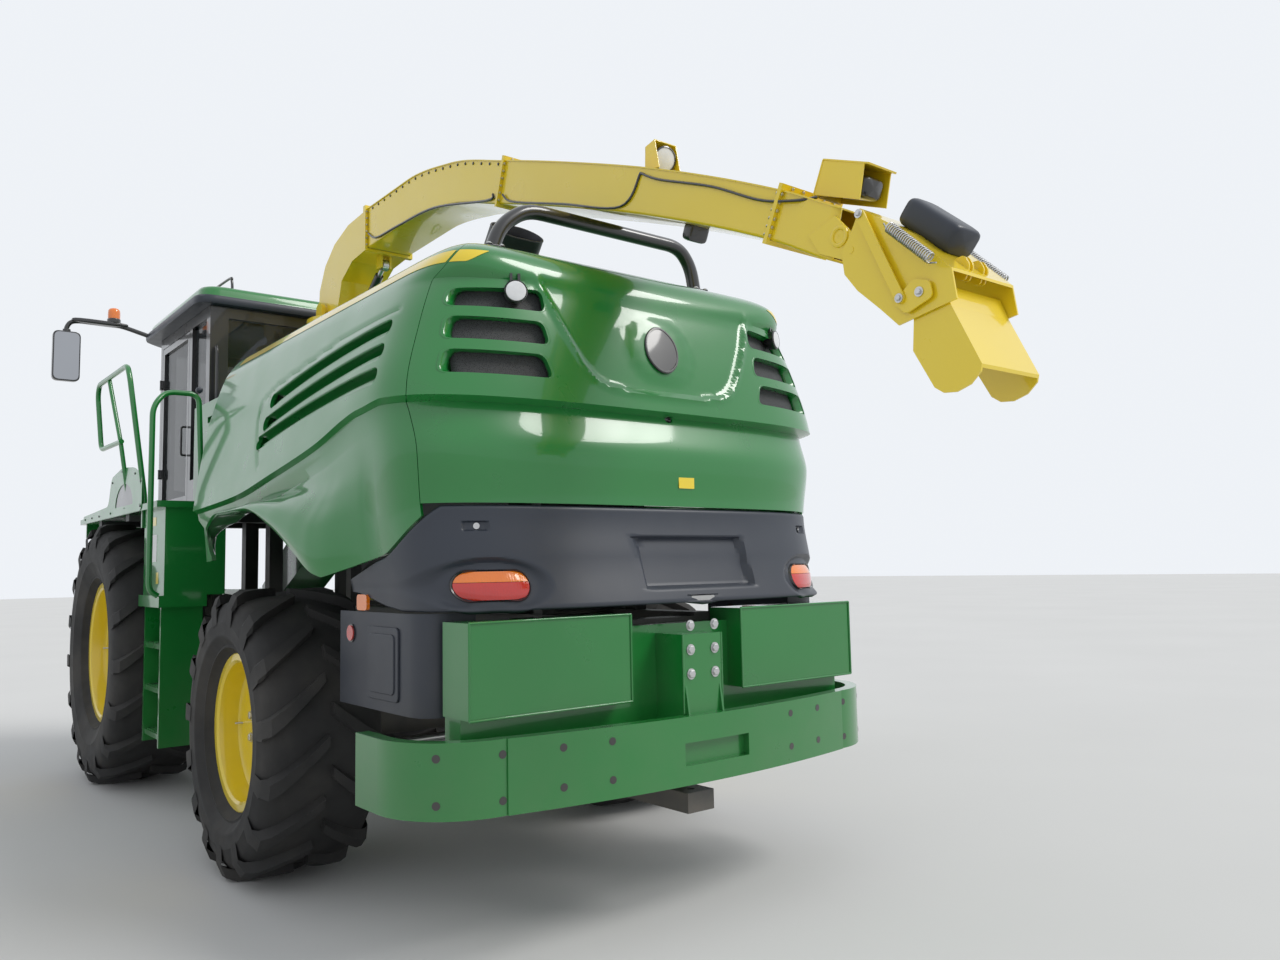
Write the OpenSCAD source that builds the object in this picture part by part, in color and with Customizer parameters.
// Self-propelled forage harvester, standing with its spout laid in the rear cradle.
// X runs forward, Y to the machine's left, Z up from the ground, all in millimetres.
// Every module draws in the front axle's frame: X is measured from the front axle.

/* [Whole machine] */
// Front axle ahead of the middle of the machine's length
front_axle_x = 2650; // [2550:5:2750]
// Distance between the axles
wheelbase = 3310; // [3250:10:3400]
// Ground to the underside of the two frame rails
rail_z = 1200; // [1190:5:1210]
// Height of a frame rail
rail_h = 180; // [160:5:190]
// Width of a frame rail
rail_w = 110; // [90:5:120]
// Middle of a frame rail from the centre line
rail_y = 300; // [290:5:305]

/* [Front wheels] */
// Outer radius over the lugs
front_tyre_r = 1020; // [1000:5:1025]
// Width of the tyre
front_tyre_w = 710; // [680:10:720]
// Radius of the tyre's bead on the rim
front_rim_r = 535; // [520:5:545]
// Middle of the tyre from the centre line
front_track_y = 1213; // [1205:1:1225]
// Lugs on each half of the tread
front_lugs = 17; // [15:1:18]

/* [Rear wheels] */
// Outer radius over the lugs
rear_tyre_r = 767; // [755:1:775]
// Width of the tyre
rear_tyre_w = 640; // [600:10:650]
// Radius of the tyre's bead on the rim
rear_rim_r = 400; // [390:5:410]
// Middle of the tyre from the centre line
rear_track_y = 1185; // [1180:1:1200]
// Kingpin from the centre line
kingpin_y = 790; // [780:5:800]
// Lugs on each half of the tread
rear_lugs = 15; // [14:1:16]
// Height of a lug above the tread
lug_h = 42; // [35:1:50]
// Steering arm, kingpin to tie rod pin
steer_arm = 260; // [240:5:280]

/* [Bodywork] */
// Rear axle to the rearmost point of the hood
rear_overhang = 1990; // [1950:5:2020]
// Front edge of the side panels behind the front axle
panel_front = 2100; // [2060:5:2140]
// Seam between the hood and the dark tail panel
tail_seam_z = 1900; // [1890:5:1920]
// Height of the styling crease
crease_z = 2360; // [2340:5:2380]
// Top of the hood
hood_top_z = 3150; // [3130:5:3170]
// Thickness of a body panel
panel_t = 28; // [20:1:32]
// Reach of the rounded rear corners
corner_reach = 600; // [560:10:640]
// Gap between neighbouring panels
panel_gap = 10; // [8:1:14]

/* [Cab] */
// Half width of the cab
cab_y = 900; // [890:5:905]
// Rear wall behind the front axle
cab_back = 760; // [740:5:780]
// Side walls end ahead of the front axle
cab_front = 800; // [780:5:820]
// Windscreen's middle ahead of the ends of the side walls
screen_bow = 450; // [400:10:500]
// Cab floor height
cab_floor_z = 2150; // [2140:5:2170]
// Underside of the roof
roof_z = 3770; // [3740:5:3780]
// Height of the roof's rim
roof_h = 170; // [150:5:190]
// Cab wall thickness
cab_wall = 60; // [50:2:70]
// Door's front edge ahead of the front axle
door_front = 730; // [700:5:740]
// Door width
door_w = 900; // [860:5:930]

/* [Spout] */
// Turning axis behind the front axle
spout_pivot = 1350; // [1330:5:1370]
// Underside of the turning ring
ring_z = 3560; // [3540:5:3580]
// Outer radius of the turning ring
ring_r = 330; // [310:5:350]
// Width of the spout
spout_w = 340; // [320:5:360]
// Wall of the spout
spout_wall = 12; // [8:1:16]
// Depth of the spout at its foot
spout_foot_h = 300; // [280:5:310]
// Depth of the spout at its end
spout_end_h = 205; // [195:5:215]

/* [Intake] */
// Half width of the feed housing
intake_y = 370; // [350:5:380]
// Front face of the feed housing ahead of the front axle
intake_front = 1780; // [1740:5:1850]
// Cutterhead axis ahead of the front axle
drum_x = 480; // [470:5:490]
// Cutterhead axis above ground
drum_z = 1180; // [1170:5:1190]

/* [Rear ballast] */
// Middle of the curved bar behind the hood's rear face
bar_back = 260; // [240:5:290]
// Underside of the curved bar
bar_z = 640; // [620:5:660]
// Height of the curved bar
bar_h = 300; // [280:5:320]
// Half width of the curved bar
bar_half = 1400; // [1380:5:1420]
// Radius of the curved bar's long middle arc
bar_arc_r = 5380; // [5200:20:5600]
// Radius of its two corners
bar_corner_r = 380; // [340:5:420]

/* [Hidden] */
$fn = 48;
green = "#1c7a35";
yellow = "#f0d32b";
dark = "#3a3f45";
black = "#202224";
rear_axle_x = -wheelbase;
hood_rear_x = rear_axle_x - rear_overhang;
flank_len = -panel_front - hood_rear_x - corner_reach;
seam_s = 0.72;
// The tail panel ends a little way along the flank
tail_reach_s = 1.13;
tail_low_z = tail_seam_z - 460;
seam_ds = 0.014;
boxiness = 3.5;
fit = 0.3;
// A bend stands a little proud of its tube
bend_swell = 1.5;

// Moves what is drawn from the front axle's frame to the machine's own origin
module from_axle() {
    translate([front_axle_x, 0, 0]) children();
}

// Draws its children and their mirror image on the other side of the machine
module both_sides() {
    children();
    mirror([0, 1, 0]) children();
}

// A round bar along Y
module bar_y(r, len) {
    rotate([-90, 0, 0]) cylinder(r = r, h = len);
}

// A round bar between two points
module rod(a, b, r) {
    d = b - a;
    len = norm(d);
    translate(a) rotate([0, acos(d[2] / len), atan2(d[1], d[0])]) cylinder(r = r, h = len, $fn = 16);
}

// A flat outline with round corners
module rounded(w, h, r) {
    square([w, h - 2 * r], center = true);
    square([w - 2 * r, h], center = true);
    for (x = [-1, 1], y = [-1, 1]) translate([x * (w / 2 - r), y * (h / 2 - r)]) circle(r = r);
}

// A bent tube through a list of points, with a ball at each bend
module tube_path(points, r) {
    for (i = [0 : len(points) - 2]) rod(points[i], points[i + 1], r);
    for (i = [1 : len(points) - 2]) translate(points[i]) rotate([20, 0, 37])
        sphere(r = r + bend_swell, $fn = 16);
}

// An outline in X and Z, drawn as wide as given about the centre line
module side_profile(points, width) {
    translate([0, width / 2, 0]) rotate([90, 0, 0]) linear_extrude(width) polygon(points);
}

// A curved sheet: two grids of points of the same size, the outer and the inner skin
module sheet(outer, inner) {
    rows = len(outer);
    cols = len(outer[0]);
    skin = rows * cols;
    points = concat([for (row = outer) each row], [for (row = inner) each row]);
    cells = [for (r = [0 : rows - 2], c = [0 : cols - 2]) r * cols + c];
    outside = [for (i = cells) each [[i, i + 1, i + cols + 1], [i, i + cols + 1, i + cols]]];
    inside = [for (i = cells) each [[skin + i, skin + i + cols + 1, skin + i + 1],
        [skin + i, skin + i + cols, skin + i + cols + 1]]];
    last = (rows - 1) * cols;
    edges = concat(
        [for (c = [0 : cols - 2]) each [[c, skin + c, skin + c + 1], [c, skin + c + 1, c + 1]]],
        [for (c = [last : last + cols - 2]) each [[c, c + 1, skin + c + 1], [c, skin + c + 1, skin + c]]],
        [for (r = [0 : rows - 2]) let (i = r * cols)
            each [[i, i + cols, skin + i + cols], [i, skin + i + cols, skin + i]]],
        [for (r = [0 : rows - 2]) let (i = (r + 1) * cols - 1)
            each [[i, skin + i + cols, i + cols], [i, skin + i, skin + i + cols]]]);
    polyhedron(points, concat(outside, inside, edges));
}

// Body form: height, half width, rear face set forward
hood_form = [
    [tail_seam_z - 460, 1235, -120],
    [tail_seam_z - 240, 1255, -50],
    [tail_seam_z, 1275, 0],
    [(tail_seam_z + crease_z) / 2, 1300, -15],
    [crease_z - 60, 1312, 35],
    [crease_z - 20, 1318, 50],
    [crease_z, 1350, -10],
    [crease_z + 70, 1340, 0],
    [crease_z + 320, 1262, 40],
    [hood_top_z - 230, 1160, 95],
    [hood_top_z - 110, 1078, 150],
    [hood_top_z - 40, 985, 250],
    [hood_top_z, 870, 400]];
hood_width = [for (row = hood_form) [row[0], row[1]]];
hood_set = [for (row = hood_form) [row[0], row[2]]];

// A point of the body: s is 0 at the rear middle, 1 where the flank begins, 2 at its front edge
function wrap(s, z, inset) =
    let (a = 90 * min(abs(s), 1), side = s < 0 ? -1 : 1, w = lookup(z, hood_width) - inset,
        x = hood_rear_x + lookup(z, hood_set) + inset, reach = corner_reach - inset,
        tight = lookup(z, [[hood_top_z - 230, 1], [hood_top_z, 3]]),
        run = max(abs(s) - 1, 0) * (-panel_front - x - reach))
    [x + reach * pow(1 - pow(cos(a), 2 / boxiness), tight) + run,
        side * w * pow(sin(a), 2 / boxiness),
        z - inset * lookup(z, [[hood_top_z - 230, 0], [hood_top_z - 40, 0.7], [hood_top_z, 1]])];

// Wheel arch in the flank: distance ahead of the rear axle, height of the edge, bulge of the fender
arch_form = [
    [-1060, tail_seam_z - 310, 150],
    [-980, tail_seam_z - 280, 175],
    [-840, tail_seam_z - 180, 190],
    [-600, tail_seam_z - 50, 200],
    [-250, tail_seam_z + 50, 205],
    [200, tail_seam_z + 55, 200],
    [600, tail_seam_z - 10, 160],
    [900, tail_seam_z - 130, 70],
    [1060, tail_seam_z - 195, 10],
    [1210, tail_seam_z - 200, 0]];
arch_edge = [for (row = arch_form) [row[0], row[1]]];
arch_swell = concat([[-1400, 0], [-1250, 60]], [for (row = arch_form) [row[0], row[2]]]);
function arch_bulge(s) = lookup(flank_x(s) - rear_axle_x, arch_swell);
function flank_edge(s) =
    s < tail_reach_s ? tail_top(s) + panel_gap : lookup(flank_x(s) - rear_axle_x, arch_edge);

// Rows of a flank panel above the arch's edge, and the share of the bulge they carry
flank_rows = [[0, 0.92], [0.16, 1], [0.4, 0.86], [0.62, 0.45], [0.82, 0.12]];
valley_z = crease_z - 110;
upper_rows = [for (row = hood_form) if (row[0] > valley_z) row[0]];

function flank_x(s) = hood_rear_x + corner_reach + (s - 1) * flank_len;
// The crease sweeps down towards the front, and the rows near it go with it
crease_fall = [[-5000, 0], [-4700, -25], [-4180, -130], [-3580, -215], [-2970, -290], [-2100, -330]];
function fall(s, z) = s < 1 ? 0 : lookup(flank_x(s), crease_fall)
    * lookup(z, [[crease_z + 70, 1], [crease_z + 320, 0.25], [hood_top_z - 230, 0]]);
function flank_high(s, z, inset) = wrap(s, z, inset) + [0, 0, fall(s, z)];
function flank_valley(s) = max(valley_z + fall(s, valley_z), flank_edge(s) + 40);
function flank_low(s, k, inset) =
    let (edge = flank_edge(s), z = edge + (flank_valley(s) - edge) * k[0])
    wrap(s, z, inset) + [0, (s > 1 ? arch_bulge(s) * k[1] : 0), 0];
flank_stations = concat([seam_s + seam_ds, 0.8, 0.9, 1, 1.05, tail_reach_s - 0.002],
    [for (row = arch_form) let (s = 1 + (row[0] + rear_axle_x - hood_rear_x - corner_reach) / flank_len)
        if (s > tail_reach_s + 0.01 && s < 1.98) s], [2]);
function flank_grid(inset) = concat(
    [for (k = concat(flank_rows, [[1, 0]])) [for (s = flank_stations) flank_low(s, k, inset)]],
    [for (z = upper_rows) [for (s = flank_stations) flank_high(s, z, inset)]]);

// A side panel with its fender, three long louvres and the studs of the grille behind them
module side_panel() {
    color(green) from_axle() difference() {
        sheet(flank_grid(0), flank_grid(panel_t));
        for (i = [0 : 2]) side_louvre(i);
    }
    color(green) from_axle() for (stud = studs) {
        tip = flank_high(1 + (stud[0] - hood_rear_x - corner_reach) / flank_len, stud[1], panel_t / 2);
        root_y = grille_y(tip[2] - 15) + grille_t * 1.02 + fit;
        translate([tip[0] - 15, root_y, tip[2] - 15]) cube([30, tip[1] - root_y, 30]);
    }
    color(green) from_axle() for (x = side_hinges) translate([x, hinge_y, hinge_z]) {
        rotate([0, 90, 0]) cylinder(r = hinge_r, h = hinge_len);
        translate([0, 0, -hinge_r]) cube([hinge_len, 60, hinge_r]);
    }
}

// Strap hinges on the seams of the hood's top: barrels on the lids, leaves on the deck
hinge_r = 12;
hinge_len = 70;
hinge_z = hood_top_z + 10;
hinge_y = 870 - (panel_t + panel_gap) / 2;
hood_hinge_x = hood_rear_x + 400 + (panel_t + panel_gap) / 2;
side_hinges = [for (i = [0 : 2]) hood_rear_x + corner_reach + 250 + i * (flank_len - 400) / 2];
// Louvres: rear end ahead of the hood's rear face, underside above the crease, length, rise towards the rear
louvre_form = [
    [460, 70, 1560, 4.6],
    [470, 186, 1490, 5.2],
    [480, 302, 1440, 5.0]];
louvre_h = 86;
louvre_bow = 27;
// A slot with round ends, bent upwards in the middle
module side_louvre(i) {
    row = louvre_form[i];
    r = louvre_h / 2;
    line = [for (k = [0 : 6]) [row[2] * k / 6, louvre_bow * 4 * (k / 6) * (1 - k / 6)]];
    translate([hood_rear_x + row[0], 1600, crease_z + row[1] + r]) rotate([90, row[3], 0])
        linear_extrude(700) polygon(concat(
            [for (point = line) point + [0, r]],
            [for (a = [60 : -30 : -60]) line[6] + r * [cos(a), sin(a)]],
            [for (k = [6 : -1 : 0]) line[k] - [0, r]],
            [for (a = [240 : -30 : 120]) line[0] + r * [cos(a), sin(a)]]));
}

// The grille is a flat sheet behind a panel's three louvres, leaning as the panel does
grille_t = 6;
grille_low_z = crease_z - 110;
grille_h = 560;
grille_low_y = 1249;
grille_high_y = 1145;
function grille_y(z) = grille_low_y + (grille_high_y - grille_low_y) * (z - grille_low_z) / grille_h;
grille_x = hood_rear_x + 495;
grille_len = 1600;
// Studs that carry a grille: distance along the axle's line and height on the panel
studs = [
    [grille_x + 60, crease_z + 62],
    [grille_x + 60, hood_top_z - 290],
    [grille_x + grille_len - 60, crease_z + 280],
    [grille_x + grille_len - 60, hood_top_z - 290]];
module side_panel_left() { side_panel(); }
module side_panel_right() { mirror([0, 1, 0]) side_panel(); }

module grille() {
    lean = atan2(grille_low_y - grille_high_y, grille_h);
    hole = [46, 60];
    color(black) from_axle() translate([grille_x, grille_low_y, grille_low_z])
        rotate([lean, 0, 0]) difference() {
            cube([grille_len, grille_t, grille_h / cos(lean)]);
            for (i = [0 : 22], k = [0 : 6]) translate([44 + 68 * i, -1, 22 + 77 * k])
                cube([hole[0], 9, hole[1]]);
        }
}
module grille_left() { grille(); }
module grille_right() { mirror([0, 1, 0]) grille(); }

// The rear hood: one lid around both corners, with three short louvres at each
hood_stations = [for (i = [-8 : 8]) seam_s * (i / 8)];
hood_rows = [for (row = hood_form) if (row[0] >= tail_seam_z) row[0]];
module rear_hood() {
    color(green) from_axle() difference() {
        sheet([for (z = hood_rows) [for (s = hood_stations) wrap(s, z, 0)]],
            [for (z = hood_rows) [for (s = hood_stations) wrap(s, z, panel_t)]]);
        both_sides() for (i = [0 : 2])
            translate([hood_rear_x - 100, 640, crease_z + 105 + 160 * i]) cube([700, 430, 110]);
    }
    color(green) from_axle() both_sides() translate([hood_hinge_x, 350, hinge_z]) {
        bar_y(hinge_r, hinge_len);
        translate([-60, 0, -hinge_r]) cube([60, hinge_len, hinge_r]);
    }
}

// The flat top between the side panels, with the fixed leaves of the lids' hinges
deck_stations = [for (i = [-20 : 20]) 2 * sin(90 * i / 20)];
module top_deck() {
    outline = [for (s = deck_stations) let (p = wrap(s, hood_top_z, panel_t + panel_gap)) [p[0], p[1]]];
    color(green) from_axle() {
        translate([0, 0, hood_top_z - panel_t]) linear_extrude(panel_t) polygon(outline);
        both_sides() {
            for (x = side_hinges) translate([x, hinge_y - hinge_r - fit - 50, hood_top_z - 1])
                cube([hinge_len, 50, hinge_r]);
            translate([hood_hinge_x + hinge_r + fit, 350, hood_top_z - 1]) cube([50, hinge_len, hinge_r]);
        }
    }
}

// The dark tail panel wraps the rear from one rear wheel to the other
tail_stations = concat([-tail_reach_s, -1, -0.9, -0.8, -0.72], [for (i = [-5 : 5]) 0.6 * i / 5],
    [0.72, 0.8, 0.9, 1, tail_reach_s]);
function tail_top(s) =
    tail_seam_z - panel_gap - 310 * pow(max(abs(s) - 0.62, 0) / (tail_reach_s - 0.62), 1.1);
module tail_panel() {
    levels = [0, 0.35, 0.65, 1];
    color(dark) from_axle() {
        difference() {
            sheet([for (k = levels) [for (s = tail_stations) tail_point(s, k, 0)]],
                [for (k = levels) [for (s = tail_stations) tail_point(s, k, panel_t)]]);
            both_sides() {
                tail_lamp(fit);
                side_marker(fit);
            }
            plate_recess();
        }
        both_sides() corner_cover();
    }
}
function tail_point(s, k, inset) = wrap(s, tail_low_z + (tail_top(s) - tail_low_z) * k, inset);

// Shallow recess for a plate, square to the leaning rear face
module plate_recess() {
    lean = atan2(wrap(0, plate_z + 60, 0)[0] - wrap(0, plate_z - 60, 0)[0], 120);
    translate([wrap(0, plate_z, 0)[0], -290, plate_z]) rotate([0, lean, 0]) translate([-100, 0, -75])
        cube([112, 580, 150]);
}

// The plastic cover under the tail panel's corner, down to the curved bar
cover_x = hood_rear_x + 160;
cover_len = 880;
module corner_cover() {
    low = bar_z + bar_h + 60;
    h = tail_low_z - low - fit;
    translate([cover_x, 950, low]) difference() {
        cube([cover_len, 280, h]);
        translate([50, -1, 40]) cube([cover_len + 1, 246, h + 1]);
    }
    translate([cover_x + 195, 1229, low + h / 2]) rotate([-90, 0, 0]) linear_extrude(9)
        rounded(340, 330, 25);
}

// Lamps in the tail panel and the side markers, each through its own pocket
lamp_y = 980;
lamp_z = 1540;
plate_z = 1660;
module tail_lamp(grow) {
    x = wrap(0.457, lamp_z, 0)[0];
    translate([x - 50, lamp_y, lamp_z]) rotate([0, 90, 0]) linear_extrude(110) {
        square([110 + 2 * grow, 200], center = true);
        for (side = [-1, 1]) translate([0, side * 100]) circle(r = 55 + grow);
    }
}
module side_marker(grow) {
    translate([flank_x(1.03) - grow, 1215, lamp_z - 50 - grow]) cube([120 + 2 * grow, 60, 80 + 2 * grow]);
}
module lamps() {
    color("#d2381e") from_axle() both_sides() {
        tail_lamp(0);
        side_marker(0);
    }
}

// Frame: two rails, the members between and beside them, and the carriers of the cab and platforms
rail_back_x = hood_rear_x + 120;
rail_front_x = 150;
rail_top_z = rail_z + rail_h;
rail_in_y = rail_y - rail_w / 2 - fit;
rail_out_y = rail_y + rail_w / 2 + fit;
carrier_z = cab_floor_z - 70;
post_xs = [hood_rear_x + 620, -panel_front - 150];
module frame_rails() {
    color(dark) from_axle() both_sides() translate([rail_back_x, rail_y - rail_w / 2, rail_z])
        cube([rail_front_x - rail_back_x, rail_w, rail_h]);
}
module cross_members() {
    seat_t = 60;
    color(dark) from_axle() {
        for (x = [rail_back_x, rear_axle_x - 1200, rear_axle_x + 400, -1700, -700])
            translate([x, -rail_in_y, rail_z + 20]) cube([120, 2 * rail_in_y, rail_h - 40]);
        translate([rear_axle_x - 160, -190, axle_top_z]) cube([320, 380, rail_z - seat_t + 1 - axle_top_z]);
        translate([rear_axle_x - 160, -rail_y, rail_z - seat_t]) cube([320, 2 * rail_y, seat_t - fit]);
        both_sides() {
            for (x = post_xs) translate([x, rail_y - 40, rail_top_z + fit])
                cube([80, 80, hood_top_z - panel_t - rail_top_z - 2 * fit]);
            translate([rail_back_x + 40, rail_out_y, rail_z + 20]) cube([80, 950 - fit - rail_out_y, 80]);
        }
    }
}
arm_h = 45;
module cab_carriers() {
    color(dark) from_axle() {
        for (x = [-600, 420]) cab_carrier(x);
        both_sides() {
            translate([-2000, rail_out_y, rail_top_z - 60]) cube([900, 990 - rail_out_y, 60 - fit]);
            translate([-1260, 930, rail_top_z]) cube([100, 60, carrier_z + 5 - fit - rail_top_z]);
        }
    }
}
// A foot on each rail, the beam under the cab and the arm under the platforms
module cab_carrier(x) {
    foot_x = min(x, rail_front_x - 120);
    beam_z = carrier_z + 5;
    foot_top = foot_x == x ? beam_z - arm_h : beam_z;
    both_sides() translate([foot_x, rail_y - rail_w / 2, rail_top_z + fit])
        cube([110, rail_w, foot_top - rail_top_z - 2 * fit]);
    translate([foot_x, -cab_y + 20, beam_z])
        cube([x - foot_x + 110, 2 * cab_y - 40, cab_floor_z - beam_z - fit]);
    translate([x, -step_y - 20, beam_z - arm_h]) cube([110, 2 * step_y + 40, arm_h - fit]);
}

module engine() {
    color("#4a4f52") from_axle() translate([rear_axle_x - 1150, -400, rail_top_z]) cube([1350, 800, 1050]);
}

// Axles
front_axle_z = front_tyre_r;
rear_axle_z = rear_tyre_r;
axle_top_z = rear_axle_z + 110;
hub_face_y = front_track_y + 60;
module front_axle() {
    color(dark) from_axle() {
        translate([0, -640, front_axle_z]) bar_y(130, 1280);
        both_sides() {
            translate([-210, 560, front_axle_z - 230]) cube([420, 240, 440]);
            translate([0, 790, front_axle_z]) bar_y(200, hub_face_y - 790 - fit);
            translate([-100, rail_y - 50, front_axle_z + 60]) cube([200, 100, rail_z - front_axle_z - 60]);
            for (y = [cylinder_y - 60, cylinder_y + 42]) translate([0, y, lift_foot[1] - 40])
                cube([lift_foot[0] + 40, 18, 130]);
            translate([lift_foot[0], cylinder_y - 60, lift_foot[1]]) bar_y(20, 120);
        }
    }
}
module rear_axle() {
    color(dark) from_axle() {
        translate([rear_axle_x - 95, -kingpin_y + 140, rear_axle_z - 100])
            cube([190, 2 * kingpin_y - 280, 200]);
        translate([rear_axle_x - 140, -180, rear_axle_z - 110]) cube([280, 360, 220]);
        both_sides() difference() {
            union() {
                for (z = [rear_axle_z - 160, rear_axle_z + 100]) translate([rear_axle_x, kingpin_y, z])
                    cylinder(r = 75, h = 60);
                for (z = [rear_axle_z - 160, rear_axle_z + 100])
                    translate([rear_axle_x - 75, kingpin_y - 190, z]) cube([150, 190, 60]);
                translate([rear_axle_x - 75, kingpin_y - 190, rear_axle_z - 160]) cube([150, 55, 320]);
            }
            translate([rear_axle_x, kingpin_y, rear_axle_z - 170]) cylinder(r = 36, h = 340);
        }
    }
}

// A knuckle turns on its kingpin and carries the rear wheel's hub
module knuckle() {
    color(dark) from_axle() difference() {
        union() {
            translate([rear_axle_x, kingpin_y, rear_axle_z - 175]) cylinder(r = 35.9, h = 350);
            translate([rear_axle_x, kingpin_y, rear_axle_z - 95]) cylinder(r = 70, h = 190);
            translate([rear_axle_x, kingpin_y, rear_axle_z]) bar_y(85, rear_hub_y - kingpin_y - fit);
            translate([rear_axle_x - steer_arm, kingpin_y - 35, rear_axle_z - 90]) cube([steer_arm, 70, 45]);
            translate([rear_axle_x - steer_arm, kingpin_y, rear_axle_z - 90]) cylinder(r = 42, h = 45);
        }
        translate([rear_axle_x - steer_arm, kingpin_y, rear_axle_z - 100]) cylinder(r = 20, h = 70);
    }
}
rear_hub_y = rear_track_y + 40;
module knuckle_left() { knuckle(); }
module knuckle_right() { mirror([0, 1, 0]) knuckle(); }
module tie_rod() {
    z = rear_axle_z - 122;
    color("silver") from_axle() {
        translate([rear_axle_x - steer_arm, -kingpin_y, z]) bar_y(24, 2 * kingpin_y);
        both_sides() {
            translate([rear_axle_x - steer_arm, kingpin_y, z - 28]) cylinder(r = 38, h = 60 - fit);
            translate([rear_axle_x - steer_arm, kingpin_y, z]) cylinder(r = 19.95, h = 75);
        }
    }
}

// Wheels: a tyre's carcass with slanted lugs, and a dished rim
flange_t = 14;
flange_h = 22;
tyre_steps = 24;
// Carcass section from bead to tread's middle: radius, half width. It is turned in flat facets.
module tyre(r, w, bead, count) {
    t = r - lug_h;
    bead_y = w * 0.36 - flange_t - fit;
    flat = 1 / cos(180 / tyre_steps);
    half = [[bead * flat, bead_y], [(bead + flange_h + 2) * flat, bead_y], [(bead + t) / 2, w / 2],
        [t - 70, w * 0.47], [t - 6, w * 0.32]];
    section = concat(half, [for (i = [len(half) - 1 : -1 : 0]) [half[i][0], -half[i][1]]]);
    ring(section, tyre_steps);
    for (i = [0 : count - 1], side = [0, 1]) mirror([0, side, 0]) rotate([0, 360 * (i + side / 2) / count, 0])
        lug(r, w);
}
module ring(section, steps) {
    n = len(section);
    points = [for (i = [0 : steps - 1], p = section) let (a = 360 * i / steps)
        [p[0] * sin(a), p[1], p[0] * cos(a)]];
    faces = [for (i = [0 : steps - 1], j = [0 : n - 1])
        let (k = (j + 1) % n, a = i * n, b = (i + 1) % steps * n) [a + j, b + j, b + k, a + k]];
    polyhedron(points, faces);
}
module lug(r, w) {
    run = w * 0.34;
    top = sqrt(r * r - pow(run / 2 + 45, 2));
    translate([0, 0, top - lug_h - 50]) linear_extrude(lug_h + 50)
        polygon([[run / 2, -12], [run / 2 - 75, -12], [-run / 2 - 45, w * 0.44], [-run / 2 + 38, w * 0.46]]);
}
module rim(r, w, dish_y, hub_y) {
    half = w * 0.36;
    rotate([-90, 0, 0]) rotate_extrude() polygon([[r - 40, -half], [r + flange_h, -half],
        [r + flange_h, -half + flange_t], [r - 0.5, -half + flange_t], [r - 0.5, half - flange_t],
        [r + flange_h, half - flange_t], [r + flange_h, half], [r - 40, half], [r - 55, dish_y + 40],
        [205, dish_y + 25], [205, hub_y + 70], [0, hub_y + 70], [0, hub_y], [215, hub_y], [230, dish_y],
        [r - 70, dish_y + 12], [r - 40, dish_y - 30]]);
}
module tyre_front_left() {
    color(black) from_axle() translate([0, front_track_y, front_axle_z])
        tyre(front_tyre_r, front_tyre_w, front_rim_r, front_lugs);
}
module rim_front_left() {
    color(yellow) from_axle() translate([0, front_track_y, front_axle_z])
        rim(front_rim_r, front_tyre_w, 90, hub_face_y - front_track_y);
}
module tyre_rear_left() {
    color(black) from_axle() translate([rear_axle_x, rear_track_y, rear_axle_z])
        tyre(rear_tyre_r, rear_tyre_w, rear_rim_r, rear_lugs);
}
module rim_rear_left() {
    color(yellow) from_axle() translate([rear_axle_x, rear_track_y, rear_axle_z])
        rim(rear_rim_r, rear_tyre_w, 70, rear_hub_y - rear_track_y);
}
module tyre_front_right() { mirror([0, 1, 0]) tyre_front_left(); }
module rim_front_right() { mirror([0, 1, 0]) rim_front_left(); }
module tyre_rear_right() { mirror([0, 1, 0]) tyre_rear_left(); }
module rim_rear_right() { mirror([0, 1, 0]) rim_rear_left(); }

// Cab: plan outline, walls with window cuts, roof, panes, door and seat
screen_r = (cab_y * cab_y + screen_bow * screen_bow) / (2 * screen_bow);
screen_centre_x = cab_front + screen_bow - screen_r;
module cab_plan(inset) {
    intersection() {
        translate([-cab_back + inset, -cab_y + inset])
            square([cab_back + cab_front + screen_bow, 2 * (cab_y - inset)]);
        union() {
            translate([screen_centre_x, 0]) circle(r = screen_r - inset, $fn = 96);
            translate([-cab_back, -cab_y]) square([cab_back + screen_centre_x, 2 * cab_y]);
        }
    }
}
module cab_ring(inset, thick, z0, height) {
    translate([0, 0, z0]) linear_extrude(height) difference() {
        cab_plan(inset);
        cab_plan(inset + thick);
    }
}
sill_z = cab_floor_z + 250;
head_z = roof_z - 90;
pillar = 75;
door_back = door_front - door_w;
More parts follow.
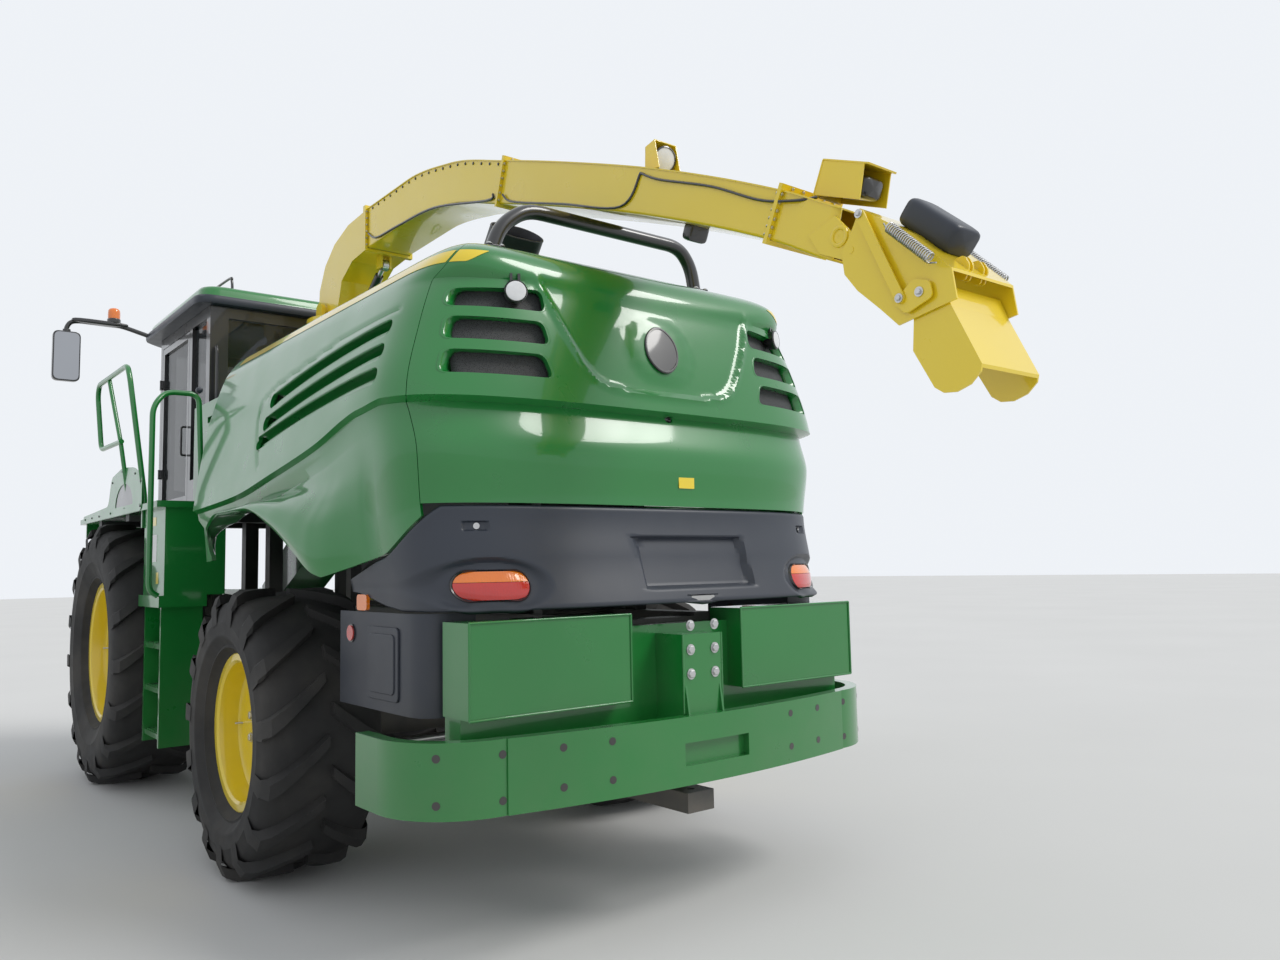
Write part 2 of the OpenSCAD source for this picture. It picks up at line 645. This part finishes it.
// Window openings, grown by e: front screen, rear pane, right pane, left rear pane
module window_cuts(e) {
    translate([cab_front - e, -cab_y + 150 - e, sill_z - e])
        cube([screen_bow + 99, 2 * (cab_y - 150 + e), head_z - sill_z + 2 * e]);
    translate([-cab_back - 50, -cab_y + 140 - e, sill_z + 150 - e])
        cube([150, 2 * (cab_y - 140 + e), head_z - sill_z - 150 + 2 * e]);
    translate([-cab_back + 100 - e, -cab_y - 50, sill_z - e])
        cube([cab_back + cab_front - 180 + 2 * e, 180, head_z - sill_z + 2 * e]);
    translate([-cab_back + 100 - e, cab_y - 130, sill_z - e])
        cube([door_back - pillar + cab_back - 100 + 2 * e, 180, head_z - sill_z + 2 * e]);
}
module cab_shell() {
    color(black) from_axle() {
        difference() {
            union() {
                cab_ring(0, cab_wall, cab_floor_z, roof_z - cab_floor_z);
                translate([0, 0, cab_floor_z]) linear_extrude(60) cab_plan(0);
            }
            window_cuts(0);
            translate([door_back, cab_y - 130, cab_floor_z + 70])
                cube([door_w, 180, head_z - cab_floor_z - 70]);
        }
        for (z = hinge_zs, end = [-12 - fit, 60 + fit]) translate([door_hinge[0], cab_y - 1, z + end]) {
            translate([0, 16, 0]) cylinder(r = 9, h = 12);
            translate([0, 0, 0]) cube([40, 17, 12]);
        }
    }
}
module cab_glass() {
    color("#5a6a70", 0.5) from_axle() intersection() {
        cab_ring(cab_wall / 2 - 4, 8, cab_floor_z, roof_z - cab_floor_z);
        window_cuts(-fit);
    }
}
door_edge = 6;
door_hinge = [door_front - 2, cab_y + 15];
hinge_zs = [cab_floor_z + 350, roof_z - 450];
module door_hinges() {
    for (z = hinge_zs) translate([door_hinge[0], door_hinge[1], z]) {
        cylinder(r = 9, h = 60);
        translate([-40, -15, 0]) cube([40, 12, 60]);
    }
}
module cab_door() {
    h = head_z - cab_floor_z - 70 - 2 * door_edge;
    color(black) from_axle()
        translate([door_back + door_edge, cab_y - 45, cab_floor_z + 70 + door_edge]) difference() {
        cube([door_w - 2 * door_edge, 45, h]);
        translate([55, -1, 55]) cube([door_w - 2 * door_edge - 110, 60, h - 110]);
    }
    color(black) from_axle() door_hinges();
}
module door_glass() {
    h = head_z - cab_floor_z - 70 - 2 * door_edge;
    color("#5a6a70", 0.5) from_axle()
        translate([door_back + door_edge + 55 + fit, cab_y - 27, cab_floor_z + 70 + door_edge + 55 + fit])
            cube([door_w - 2 * door_edge - 110 - 2 * fit, 8, h - 110 - 2 * fit]);
}
// Roof: a wide visor slab and a cap stepped in above it, with a thin rail along its left edge
visor_h = 70;
module roof_plan(grow) {
    intersection() {
        translate([-cab_back - 60 - grow, -cab_y - 110 - grow])
            square([cab_back + cab_front + 900, 2 * (cab_y + 110 + grow)]);
        translate([screen_centre_x, 0]) circle(r = screen_r + 160 + grow, $fn = 96);
    }
}
module cab_roof() {
    color(green) from_axle() translate([0, 0, roof_z]) {
        difference() {
            union() {
                linear_extrude(visor_h) roof_plan(0);
                translate([0, 0, visor_h]) linear_extrude(roof_h - visor_h) roof_plan(-40);
                translate([0, 0, roof_h]) linear_extrude(20) roof_plan(-150);
            }
            translate([0, 0, -1]) linear_extrude(41) cab_plan(cab_wall + 20);
        }
        tube_path([[-640, 700, roof_h + 10], [-600, 700, roof_h + 120], [500, 760, roof_h + 120],
            [540, 760, roof_h + 10]], 11);
    }
}
module cab_seat() {
    color("#303234") from_axle() translate([-120, -260, cab_floor_z + 60 + fit]) {
        translate([90, 90, 0]) cube([300, 340, 330]);
        translate([0, 0, 330]) cube([520, 520, 130]);
        translate([-60, 20, 400]) cube([130, 480, 700]);
        translate([150, -200, 0]) cube([420, 201, 590]);
        translate([700, 200, fit]) cylinder(r = 60, h = 60);
        translate([700, 200, 40]) rotate([0, 15, 0]) cylinder(r = 40, h = 540);
        translate([838, 200, 560]) rotate([0, 15, 0]) cylinder(r = 200, h = 30);
    }
}

// Left side: platform, closed step boxes and the open ladder
step_y = 1400;
ladder_front_x = -1080;
ladder_w = 470;
module platform_left() {
    plank_y0 = cab_y + 15;
    color(green) from_axle() {
        translate([-1640, plank_y0, carrier_z + 5]) cube([1640 + 1150, step_y - plank_y0 + 60, 45]);
        translate([ladder_front_x - ladder_w - 60, 1000, 1480])
            cube([ladder_w + 120, 400, carrier_z + 6 - 1480]);
        translate([ladder_front_x - ladder_w - 60, 1120, 1400]) cube([ladder_w + 120, 310, 81]);
        for (x = [ladder_front_x - ladder_w, ladder_front_x - 30])
            translate([x, 1130, 450]) cube([30, 270, 990]);
        for (z = [500, 810, 1110]) translate([ladder_front_x - ladder_w, 1135, z]) cube([ladder_w, 255, 35]);
        translate([-1000, plank_y0, carrier_z - 110]) cube([30, 500, 116]);
        translate([1110, plank_y0, carrier_z - 110]) cube([30, 500, 116]);
    }
}
module platform_right() {
    plank_y0 = cab_y + 15;
    color(green) from_axle() mirror([0, 1, 0]) {
        translate([-1640, plank_y0, carrier_z + 5]) cube([1640 + 1150, step_y - plank_y0 + 60, 45]);
        translate([ladder_front_x - ladder_w - 60, 1000, 1100])
            cube([ladder_w + 120, 420, carrier_z + 6 - 1100]);
        translate([-1000, plank_y0, carrier_z - 110]) cube([30, 500, 116]);
        translate([1110, plank_y0, carrier_z - 110]) cube([30, 500, 116]);
    }
}
rail_r = 19;
plank_top = carrier_z + 50;
// Rails start upright on a plank, then lean outwards
function rail_foot(x, y) = [[x, y, plank_top + fit], [x, y, plank_top + 60]];
module handrails() {
    top = carrier_z + 1060;
    mid = carrier_z + 560;
    color(green) from_axle() {
        tube_path(concat(rail_foot(-1150, 1435), [[-1150, 1550, top - 90], [-1090, 1556, top + 6],
            [-80, 1555, top + 20], [0, 1550, top - 60], [-30, 1520, mid], [-668, 1500, mid]]), rail_r);
        tube_path(concat(rail_foot(-640, 1435), [[-640, 1500, mid], [-440, 1553, top + 12]]), rail_r - 3);
        tube_path(concat([[-1585, 1432, mid - 1160], [-1585, 1490, mid - 1120], [-1585, 1490, mid + 140],
            [-1540, 1400, mid + 260], [-1540, 1180, mid + 260]],
            [for (i = [1, 0]) rail_foot(-1540, 1150)[i]]), rail_r);
        mirror([0, 1, 0]) tube_path(concat(rail_foot(-1400, 1435), [[-1400, 1500, top - 60],
            [-100, 1500, top - 60]], [for (i = [1, 0]) rail_foot(-100, 1435)[i]]), rail_r);
    }
}

// Housing between the cab and the hood
module front_cowl() {
    x0 = -panel_front + 20;
    x1 = -cab_back - 60;
    color(green) from_axle() difference() {
        union() {
            translate([x0, -1020, plank_top + fit]) cube([x1 - x0, 2040, cab_floor_z + 760 - plank_top]);
            translate([x0, -850, cab_floor_z + 700]) cube([x1 - x0 - 260, 1700, 260]);
        }
        translate([-spout_pivot - 320, -320, cab_floor_z - 50]) cube([790, 640, 1150]);
        for (i = [0 : 4], side = [-1, 1]) translate([x0 + 300, side * 1020 - 40, cab_floor_z + 200 + 100 * i])
            cube([600, 80, 45]);
    }
}

// Crop channel from the cutterhead up to the turning ring
module chute() {
    inner = spout_w / 2 - spout_wall;
    color(green) from_axle() {
        difference() {
            union() {
                side_profile([[drum_x - 330, drum_z + 20], [drum_x - 330, drum_z + 330],
                    [-spout_pivot + 150, cab_floor_z + 150], [-spout_pivot - 150, cab_floor_z + 150],
                    [-spout_pivot - 150, cab_floor_z - 150]], 2 * (inner + spout_wall));
                translate([-spout_pivot, 0, cab_floor_z - 100]) linear_extrude(ring_z - cab_floor_z + 80)
                    square(2 * (inner + spout_wall), center = true);
            }
            side_profile([[drum_x - 300, drum_z + 50], [drum_x - 300, drum_z + 300],
                [-spout_pivot + 140, cab_floor_z + 130], [-spout_pivot - 140, cab_floor_z + 130],
                [-spout_pivot - 140, cab_floor_z - 130]], 2 * inner);
            translate([-spout_pivot, 0, cab_floor_z - 60]) linear_extrude(ring_z - cab_floor_z + 90)
                square(2 * inner, center = true);
        }
        translate([-spout_pivot, 0, ring_z - 40]) difference() {
            cylinder(r = ring_r, h = 40 - fit);
            translate([-inner, -inner, -1]) cube([2 * inner, 2 * inner, 50]);
        }
    }
}

// Turning ring with the spout's hinge ears
lift_x = -spout_pivot + 60;
lift_z = ring_z + 150;
module spout_ring() {
    inner = spout_w / 2 - spout_wall;
    color(yellow) from_axle() {
        translate([-spout_pivot, 0, ring_z]) difference() {
            cylinder(r = ring_r - 10, h = 60);
            translate([-inner, -inner, -1]) cube([2 * inner, 2 * inner, 62]);
        }
        both_sides() difference() {
            union() {
                translate([lift_x - 60, spout_w / 2 + 20, ring_z + 50]) cube([120, 30, lift_z - ring_z - 50]);
                translate([lift_x, spout_w / 2 + 20, lift_z]) bar_y(60, 30);
            }
            translate([lift_x, spout_w / 2 + 10, lift_z]) bar_y(25, 50);
        }
        for (y = [-49, 34]) translate([barrel_foot[0] - 45, y, ring_z + 5]) cube([115, 15, 140]);
        translate([barrel_foot[0], -49, barrel_foot[1]]) bar_y(14, 98);
    }
}

// Top skin of the spout in the X, Z plane: distance behind the turning axis, height above the ring
elbow_end = 750;
elbow_top = 750;
boom_form = [for (row = [
    [elbow_end, elbow_top],
    [1440, 750],
    [2070, 660],
    [2730, 450],
    [3430, 200],
    [4150, -80],
    [4900, -420],
    [5200, -585]]) [row[0], ring_z + row[1]]];
elbow_form = [for (row = [
    [-190, 145],
    [-175, 340],
    [-60, 520],
    [130, 650],
    [400, 730],
    [elbow_end - fit, elbow_top]]) [row[0], ring_z + row[1]]];
function slope(form, i) =
    let (a = form[max(i - 1, 0)], b = form[min(i + 1, len(form) - 1)]) (b - a) / norm(b - a);
function under(form, i, depth) = let (d = slope(form, i)) form[i] + depth * [d[1], -d[0]];
function boom_depth(i) = spout_foot_h + (spout_end_h - spout_foot_h) * min(i / (len(boom_form) - 2), 1);
// A row of points along the boom at a share of its depth, moved inwards from the top by a distance
function boom_row(share, inset) = [for (i = [0 : len(boom_form) - 1])
    let (p = under(boom_form, i, share * boom_depth(i) + inset)) [-spout_pivot - p[0], p[1]]];
function reversed(list) = [for (i = [len(list) - 1 : -1 : 0]) list[i]];
// The boom's profile between two such rows, each given as share and distance
function boom_band(a, b) = concat(boom_row(a[0], a[1]), reversed(boom_row(b[0], b[1])));
// The boom is welded from sheets: these two sides stand outside the top and bottom sheets, and each
// is butted from two lengths above the cradle
module spout_boom() {
    color(yellow) from_axle() both_sides() {
        difference() {
            translate([0, (spout_w - spout_wall) / 2, 0])
                side_profile(boom_band([0, 0], [1, 0]), spout_wall);
            on_boom(4) translate([0, 0, -100]) cube([fit, spout_w, 500]);
        }
        flap_ear();
        translate([flap_x + 62, spout_w / 2 + ear_t - 1, flap_z + 72]) difference() {
            bar_y(42, 7);
            translate([0, -1, 0]) bar_y(26, 9);
        }
    }
}
sheet_w = spout_w - 2 * spout_wall - 2 * fit;
module boom_top() { color(yellow) from_axle() side_profile(boom_band([0, 0], [0, spout_wall]), sheet_w); }
module boom_bottom() {
    color(yellow) from_axle() side_profile(boom_band([1, -spout_wall], [1, 0]), sheet_w);
}
module spout_collars() {
    color(yellow) from_axle() difference() {
        for (c = [[0, 0], [3, -10], [6, -10]]) boom_collar(c[0], c[1]);
        side_profile(boom_band([0, -fit], [1, fit]), spout_w + 2 * fit);
    }
}
module boom_collar(i, start) {
    on_boom(i) translate([start, -spout_w / 2 - 20, -25]) cube([20, spout_w + 40, boom_depth(i) + 45]);
}
// The flaps hang on ears beside the boom's open end, a little below its lower corner
flap_x = -spout_pivot - boom_form[len(boom_form) - 1][0] - 55;
flap_z = boom_form[len(boom_form) - 1][1] - 187;
ear_t = 12;
module flap_ear() {
    translate([flap_x, spout_w / 2 + ear_t, flap_z])
        rotate([90, 0, 0]) linear_extrude(ear_t + 1) difference() {
        union() {
            circle(r = 45);
            polygon([[-30, 34], [80, 160], [220, 120], [165, 30], [10, -44]]);
        }
        circle(r = 14);
    }
}
// Underside of the elbow: distance behind the turning axis, height above the ring
elbow_low = [[elbow_end - fit, elbow_top - spout_foot_h], [480, 425], [280, 320], [190, 80], [-190, 145]];
function elbow_line(rows) = [for (row = rows) [-spout_pivot - row[0], row[1]]];
module spout_elbow() {
    crown = [for (p = elbow_form) if (p[0] > -180 && p[0] < elbow_end - 50) p - [-12, 14]];
    color(yellow) from_axle() {
        difference() {
            side_profile(elbow_line(concat(elbow_form, [for (row = elbow_low) row + [0, ring_z]])), spout_w);
            side_profile(elbow_line(concat([[-178, ring_z + 40]], crown,
                [[elbow_end + 10, ring_z + elbow_top - 12],
                [elbow_end + 10, ring_z + elbow_top - spout_foot_h + 12]],
                [for (i = [1 : 3]) elbow_low[i] + [-12, ring_z + 10]], [[178, ring_z + 40]])),
                spout_w - 2 * spout_wall);
        }
        translate([-spout_pivot - elbow_end + fit, 0, ring_z + elbow_top]) elbow_flange();
        both_sides() translate([lift_x, spout_w / 2 - 1, lift_z]) bar_y(24.95, 52);
        both_sides() translate([lift_x, spout_w / 2 - 1, lift_z]) bar_y(45, 16);
        both_sides() translate([rod_eye[0] - 40, 27, rod_eye[1] - 30]) cube([80, 15, 110]);
        translate([rod_eye[0], -30, rod_eye[1]]) bar_y(eye_pin_r, 60);
    }
}

// The elbow's bolting flange
module elbow_flange() {
    difference() {
        translate([0, -spout_w / 2 - 20, -spout_foot_h - 20]) cube([20, spout_w + 40, spout_foot_h + 45]);
        translate([-1, -spout_w / 2 + spout_wall, -spout_foot_h + spout_wall])
            cube([22, spout_w - 2 * spout_wall, spout_foot_h - 2 * spout_wall]);
    }
}

// Work lamps, actuator cover and guards on the spout
// In this frame X runs down the boom's top skin towards its end, and Z points into the boom
module on_boom(i) {
    d = slope(boom_form, i);
    translate([-spout_pivot - boom_form[i][0], 0, boom_form[i][1]]) rotate([0, 180 + atan2(d[1], d[0]), 0])
        children();
}
// The same on the flat skin between two rows of the table, t of the way along, above or below
module on_skin(i, t, below) {
    a = below ? under(boom_form, i, boom_depth(i)) : boom_form[i];
    b = below ? under(boom_form, i + 1, boom_depth(i + 1)) : boom_form[i + 1];
    p = a + (b - a) * t;
    slope = atan2(b[1] - a[1], b[0] - a[0]);
    translate([-spout_pivot - p[0], 0, p[1]]) rotate([0, 180 + slope, 0]) children();
}
module spout_fittings() {
    color(black) from_axle() {
        on_skin(4, 0.7, false) translate([0, -spout_w / 2 - fit, 90]) rotate([180, 0, 0]) bar_y(55, 90);
        on_skin(5, 0.1, true) translate([0, -60, fit]) cube([90, 120, 60]);
        on_skin(6, 0.12, false) translate([0, -90, -110 - fit]) cube([240, 180, 110]);
    }
}

// Spout lift cylinder under the elbow. Its rod's eye has play on the pin.
barrel_foot = [-spout_pivot - 300, ring_z + 110];
rod_eye = [-spout_pivot - 680, ring_z + 370];
eye_pin_r = 12;
eye_play = 19;
spout_lift_way = (rod_eye - barrel_foot) / norm(rod_eye - barrel_foot);
function on_spout_lift(d) = let (p = barrel_foot + spout_lift_way * d) [p[0], 0, p[1]];
module lift_barrel() {
    color(black) from_axle() difference() {
        union() {
            rod(on_spout_lift(0), on_spout_lift(360), 32);
            translate([barrel_foot[0], -32, barrel_foot[1]]) bar_y(34, 64);
        }
        rod(on_spout_lift(60), on_spout_lift(400), 18.3);
        translate([barrel_foot[0], -40, barrel_foot[1]]) bar_y(14.05, 80);
    }
}
module lift_rod() {
    color("silver") from_axle() difference() {
        union() {
            rod(on_spout_lift(110), on_spout_lift(norm(rod_eye - barrel_foot)), 18);
            translate([rod_eye[0], -22, rod_eye[1]]) bar_y(eye_pin_r + eye_play + 12, 44);
        }
        translate([rod_eye[0], -40, rod_eye[1]]) bar_y(eye_pin_r + eye_play, 80);
    }
}

// Deflector flaps at the spout's end: an open trough, and a second one hinged inside its tip
flap_t = 8;
flap_in = spout_w / 2 + ear_t + 5;
tip_in = flap_in - 5 - flap_t;
tip_x = flap_x - 320;
tip_z = flap_z - 246;
// A trough with a back plate along the points of top and side plates down to the points of low
module trough(top, low, half) {
    last = top[len(top) - 1];
    run = (top[0] - last) / norm(top[0] - last);
    inward = [run[1], -run[0]];
    skin = [for (p = top) p + inward * flap_t];
    ahead = skin[0] + run * 400;
    behind = skin[len(skin) - 1] - run * 400;
    difference() {
        side_profile(concat(top, low), 2 * (half + flap_t));
        side_profile(concat([ahead], skin, [behind, behind + inward * 900, ahead + inward * 900]), 2 * half);
    }
}
module flap_upper() {
    color(yellow) from_axle() {
        translate([flap_x, 0, flap_z]) {
            trough([[-50, 147], [-230, 15], [-427, -174]], [[-442, -287], [-201, -331], [-124, -255],
                [-24, -163], [34, -87], [45, 0], [5, 52]], flap_in);
            both_sides() translate([0, flap_in - ear_t - 4, 0]) bar_y(13.95, ear_t + 6 + flap_t);
        }
        both_sides() translate([tip_x, tip_in + 1, tip_z]) bar_y(13.9, flap_t + 12);
    }
}
module flap_lower() {
    color(yellow) from_axle() translate([tip_x, 0, tip_z]) difference() {
        trough([[-60, 25], [-91, -56], [-196, -277]], [[-190, -303], [-150, -340], [-95, -358],
            [-45, -354], [-9, -330], [72, -186], [62, -60], [35, 30], [-25, 40]], tip_in);
        translate([0, -300, 0]) bar_y(14, 600);
    }
}

// Spout cradle on the hood's top and the exhaust beside it
cradle_x = hood_rear_x + 530;
cradle_r = 38;
cradle_gap = 33;
boom_low = [for (i = [0 : len(boom_form) - 1]) under(boom_form, i, boom_depth(i))];
// Top of the cradle's bar. The gap lets the boom's sloping underside pass over it as the spout turns.
bar_top_z = lookup(-spout_pivot - cradle_x, boom_low) - cradle_gap - 3;
module spout_cradle() {
    foot_z = hood_top_z + fit;
    color(black) from_axle() {
        both_sides() translate([cradle_x - 60, 625, foot_z]) cube([120, 110, 50]);
        tube_path([[cradle_x, -680, foot_z + 20], [cradle_x, -650, bar_top_z - 140],
            [cradle_x, -560, bar_top_z - cradle_r], [cradle_x, 470, bar_top_z - cradle_r],
            [cradle_x, 620, bar_top_z - 150], [cradle_x, 680, foot_z + 20]], cradle_r);
    }
}
// The exhaust is a wide oval pipe that leans back over the hood, on a round base plate
exhaust_y = 430;
exhaust_r = 100;
module exhaust() {
    base_x = hood_rear_x + 850;
    lean = [0, -38, 0];
    color("#4b4d50") from_axle() translate([base_x, exhaust_y, hood_top_z + fit]) difference() {
        union() {
            cylinder(r = 200, h = 14);
            rotate(lean) exhaust_bore(exhaust_r, -200, 480);
        }
        rotate(lean) exhaust_bore(exhaust_r - 8, -300, 700);
        translate([-500, -500, -500]) cube([1000, 1000, 500]);
    }
}
module exhaust_bore(r, start, len) {
    for (y = [-50, 50]) translate([0, y, start]) cylinder(r = r, h = len);
    translate([-r, -50, start]) cube([2 * r, 100, len]);
}

// Rear ballast: curved bar, blocks and the bolted bracket
bar_t = 60;
bar_mid_x = hood_rear_x - bar_back;
bar_corner_y = bar_half - bar_corner_r;
bar_corner_x = bar_mid_x + bar_arc_r - sqrt(pow(bar_arc_r - bar_corner_r, 2) - bar_corner_y * bar_corner_y);
// Plan of the bar's outer face: a long arc that runs through two corner arcs into straight ends
module bar_plan(inset) {
    intersection() {
        translate([bar_mid_x + bar_arc_r, 0]) circle(r = bar_arc_r - inset, $fn = 360);
        union() {
            translate([bar_mid_x, -bar_corner_y]) square([bar_arc_r, 2 * bar_corner_y]);
            translate([bar_corner_x, inset - bar_half]) square([bar_arc_r, 2 * (bar_half - inset)]);
            for (y = [-bar_corner_y, bar_corner_y]) translate([bar_corner_x, y])
                circle(r = bar_corner_r - inset, $fn = 64);
        }
    }
}
module ballast() {
    x = bar_mid_x;
    block_z = bar_z + bar_h + 75;
    color(green) from_axle() difference() {
        ballast_frame(x, block_z);
        translate([x - 10, -235, bar_z + 85]) cube([50, 400, 100]);
    }
}
module ballast_frame(x, block_z) {
    union() {
        translate([0, 0, bar_z]) linear_extrude(bar_h) difference() {
            bar_plan(0);
            bar_plan(bar_t);
            translate([bar_corner_x + 215, -bar_half - 1]) square([bar_arc_r * 2, 2 * bar_half + 2]);
        }
        for (y = [-110, 100]) translate([x + 55, y + 10, bar_z + bar_h - 1])
            rotate([90, 0, 0]) linear_extrude(10) polygon([[-20, 0], [100, 0], [100, 260], [20, 260]]);
        for (y = [-1165, 345]) translate([x + 150, y, block_z]) cube([rail_back_x - x - 160, 820, 385]);
        translate([x + 55, -120, bar_z + 100]) cube([200, 240, 560]);
        translate([x + 250, -1150, bar_z + bar_h - 60]) cube([rail_back_x - x - 250, 2300, 136]);
        translate([x + 250, -rail_y - 55, bar_z + bar_h])
            cube([rail_back_x - x - 250, 2 * rail_y + 110, 400]);
    }
}
module tow_hitch() {
    x = hood_rear_x - bar_back;
    color(dark) from_axle() difference() {
        union() {
            translate([x + 90, -80, bar_z - 150]) cube([480, 160, 90]);
            translate([x + 270, -80, bar_z - 61]) cube([100, 160, bar_h + 1 - fit]);
        }
        translate([x + 160, 0, bar_z - 200]) cylinder(r = 20, h = 200);
    }
}

// Mirrors on bent arms, with a beacon on each
module mirrors() {
    color(black) from_axle() both_sides() {
        tube_path([[860, cab_y + 116, roof_z + 60], [870, cab_y + 160, roof_z + 70],
            [900, 1240, roof_z + 120], [920, 1620, roof_z + 120], [920, 1650, roof_z + 10]], 20);
        translate([890, 1650, roof_z - 205]) rotate([90, 0, 90]) linear_extrude(60) rounded(220, 450, 60);
        translate([905, 1280, roof_z + 125]) cylinder(r = 55, h = 150);
    }
}

// Cutterhead housing, feed housing with rolls, and its lift cylinders
drum_r = 305;
roll_x = intake_front - 330;
upper_roll_z = drum_z + 75;
lower_roll_z = drum_z - 190;
roll_shaft_r = 32;
module cutter_housing() {
    color(green) from_axle() {
        translate([drum_x, -intake_y, drum_z]) bar_y(drum_r, 2 * intake_y);
        translate([drum_x - 330 + fit, -intake_y, drum_z - 200]) cube([330, 2 * intake_y, 505]);
        both_sides() translate([drum_x, intake_y - 1, drum_z]) bar_y(60, 61);
    }
}
module feed_housing() {
    x0 = drum_x + 330;
    color(green) from_axle() {
        difference() {
            side_profile([[x0, drum_z - 300], [x0, drum_z + 300], [intake_front, drum_z + 260],
                [intake_front, drum_z - 420]], 2 * intake_y);
            side_profile([[x0 - 50, drum_z - 240], [x0 - 50, drum_z + 240], [intake_front + 50, drum_z + 200],
                [intake_front + 50, drum_z - 360]], 2 * intake_y - 40);
            for (z = [upper_roll_z, lower_roll_z]) translate([roll_x, -intake_y - 5, z])
                bar_y(roll_shaft_r + 0.05, 2 * intake_y + 10);
        }
        both_sides() {
            difference() {
                union() {
                    translate([drum_x, intake_y + 6, drum_z - 90]) cube([400, 30, 180]);
                    translate([drum_x, intake_y + 6, drum_z]) bar_y(90, 30);
                }
                translate([drum_x, intake_y, drum_z]) bar_y(60.08, 60);
            }
            translate([x0 + 10, intake_y - 1, drum_z - 80]) cube([60, 20, 160]);
            translate([0, intake_y, 0]) rotate([90, 0, 0]) linear_extrude(20) header_hook();
            translate([lift_eye[0] - 45, intake_y - 1, lift_eye[1] - 45])
                cube([90, cylinder_y - 30 - intake_y, 90]);
            translate([lift_eye[0], cylinder_y - 40, lift_eye[1]]) bar_y(intake_pin_r, 75);
        }
    }
}
// Upward hook at the housing's front upper edge, which takes a header's beam
module header_hook() {
    x = intake_front - 1;
    z = drum_z + 180;
    polygon([[x, z], [x, z - 160], [x + 35, z - 90], [x + 80, z - 60], [x + 80, z + 110], [x + 50, z + 110],
        [x + 45, z - 10], [x + 18, z - 10]]);
}
module feed_roll(z, r) {
    color("silver") from_axle() translate([roll_x, 0, z]) {
        translate([0, -intake_y + 25, 0]) bar_y(r, 2 * intake_y - 50);
        translate([0, -intake_y, 0]) bar_y(roll_shaft_r, 2 * intake_y);
        for (i = [0 : 7]) rotate([0, 45 * i, 0]) translate([r - 10, -intake_y + 25, -8])
            cube([35, 2 * intake_y - 50, 16]);
    }
}
module feed_roll_upper() { feed_roll(upper_roll_z, 100); }
module feed_roll_lower() { feed_roll(lower_roll_z, 85); }
cylinder_y = intake_y + 120;
lift_foot = [drum_x - 310, drum_z - 330];
lift_eye = [drum_x + 720, drum_z - 290];
lift_way = (lift_eye - lift_foot) / norm(lift_eye - lift_foot);
function on_lift(d, y) = let (p = lift_foot + lift_way * d) [p[0], y, p[1]];
barrel_len = 600;
intake_pin_r = 18;
intake_play = 6;
module intake_barrels() {
    color(black) from_axle() both_sides() difference() {
        union() {
            rod(on_lift(0, cylinder_y), on_lift(barrel_len, cylinder_y), 38);
            translate([lift_foot[0], cylinder_y - 40, lift_foot[1]]) bar_y(42, 80);
        }
        rod(on_lift(120, cylinder_y), on_lift(barrel_len + 50, cylinder_y), 20.3);
        translate([lift_foot[0], cylinder_y - 60, lift_foot[1]]) bar_y(20.05, 120);
    }
}
module intake_rods() {
    color("silver") from_axle() both_sides() difference() {
        union() {
            rod(on_lift(180, cylinder_y), on_lift(norm(lift_eye - lift_foot), cylinder_y), 20);
            translate([lift_eye[0], cylinder_y - 24, lift_eye[1]]) bar_y(intake_pin_r + intake_play + 14, 48);
        }
        translate([lift_eye[0], cylinder_y - 40, lift_eye[1]]) bar_y(intake_pin_r + intake_play, 80);
    }
}

frame_rails();
cross_members();
cab_carriers();
engine();
front_axle();
rear_axle();
knuckle_left();
knuckle_right();
tie_rod();
rim_front_left();
tyre_front_left();
rim_front_right();
tyre_front_right();
rim_rear_left();
tyre_rear_left();
rim_rear_right();
tyre_rear_right();
cab_shell();
cab_roof();
cab_glass();
cab_door();
door_glass();
cab_seat();
platform_left();
platform_right();
handrails();
front_cowl();
side_panel_left();
side_panel_right();
rear_hood();
grille_left();
grille_right();
top_deck();
tail_panel();
lamps();
ballast();
tow_hitch();
exhaust();
spout_cradle();
chute();
spout_ring();
spout_elbow();
spout_boom();
boom_top();
boom_bottom();
spout_collars();
spout_fittings();
lift_barrel();
lift_rod();
flap_upper();
flap_lower();
mirrors();
cutter_housing();
feed_housing();
feed_roll_upper();
feed_roll_lower();
intake_barrels();
intake_rods();
